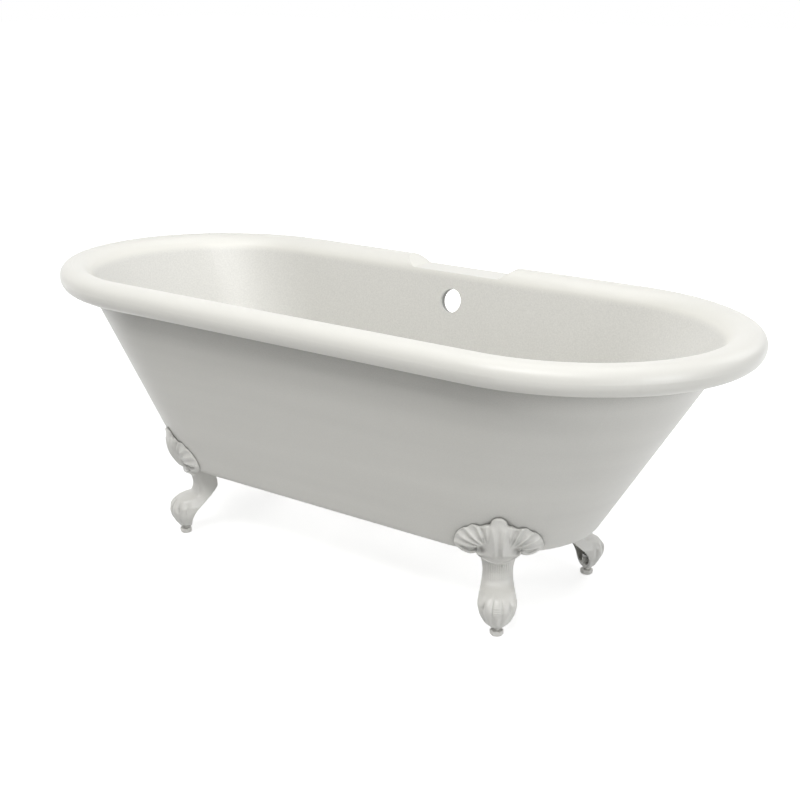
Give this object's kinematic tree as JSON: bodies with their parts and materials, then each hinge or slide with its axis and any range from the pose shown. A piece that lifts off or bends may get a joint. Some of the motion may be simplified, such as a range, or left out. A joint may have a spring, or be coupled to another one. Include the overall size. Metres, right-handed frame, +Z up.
{
  "type": "roll top bathtub",
  "caption": "Double-ended white roll top bath with a full-round rim, tap ledge and overflow hole, twin skins, and hollow claw-and-ball feet on levelling bolts.",
  "frame": {"origin": "on the floor under the centre of the bath", "axes": "+X along the bath, +Y towards the tap ledge, +Z up"},
  "size_m": [1.7, 0.72, 0.6176],
  "materials": {
    "bath_moulding": "gloss white acrylic",
    "outer_skin": "satin white",
    "base_board": "plain board, resin sealed",
    "spacer": "plain",
    "foot_paint": "white paint over cast metal",
    "zinc": "zinc plated",
    "leveller_metal": "zinc plated"
  },
  "bodies": {
    "bath": {"inner_tub": "bath_moulding", "outer_skin": "outer_skin", "base_board": "base_board", "overflow_spacer": "spacer", "front_left_foot": "foot_paint", "front_left_lock_nut": "zinc", "front_left_foot_bolts": "zinc", "front_left_foot_washers": "zinc", "front_left_foot_inserts": "zinc", "front_right_foot": "foot_paint", "front_right_lock_nut": "zinc", "front_right_foot_bolts": "zinc", "front_right_foot_washers": "zinc", "front_right_foot_inserts": "zinc", "rear_left_foot": "foot_paint", "rear_left_lock_nut": "zinc", "rear_left_foot_bolts": "zinc", "rear_left_foot_washers": "zinc", "rear_left_foot_inserts": "zinc", "rear_right_foot": "foot_paint", "rear_right_lock_nut": "zinc", "rear_right_foot_bolts": "zinc", "rear_right_foot_washers": "zinc", "rear_right_foot_inserts": "zinc"},
    "front_left_screw": {"front_left_leveller": "leveller_metal"},
    "front_right_screw": {"front_right_leveller": "leveller_metal"},
    "rear_left_screw": {"rear_left_leveller": "leveller_metal"},
    "rear_right_screw": {"rear_right_leveller": "leveller_metal"}
  },
  "joints": [
    {"name": "front_left_level", "type": "slide", "parent": "bath", "child": "front_left_screw", "axis": [0, 0, -1], "range_m": [-0.004, 0.02]},
    {"name": "front_right_level", "type": "slide", "parent": "bath", "child": "front_right_screw", "axis": [0, 0, -1], "range_m": [-0.004, 0.02]},
    {"name": "rear_left_level", "type": "slide", "parent": "bath", "child": "rear_left_screw", "axis": [0, 0, -1], "range_m": [-0.004, 0.02]},
    {"name": "rear_right_level", "type": "slide", "parent": "bath", "child": "rear_right_screw", "axis": [0, 0, -1], "range_m": [-0.004, 0.02]}
  ]
}
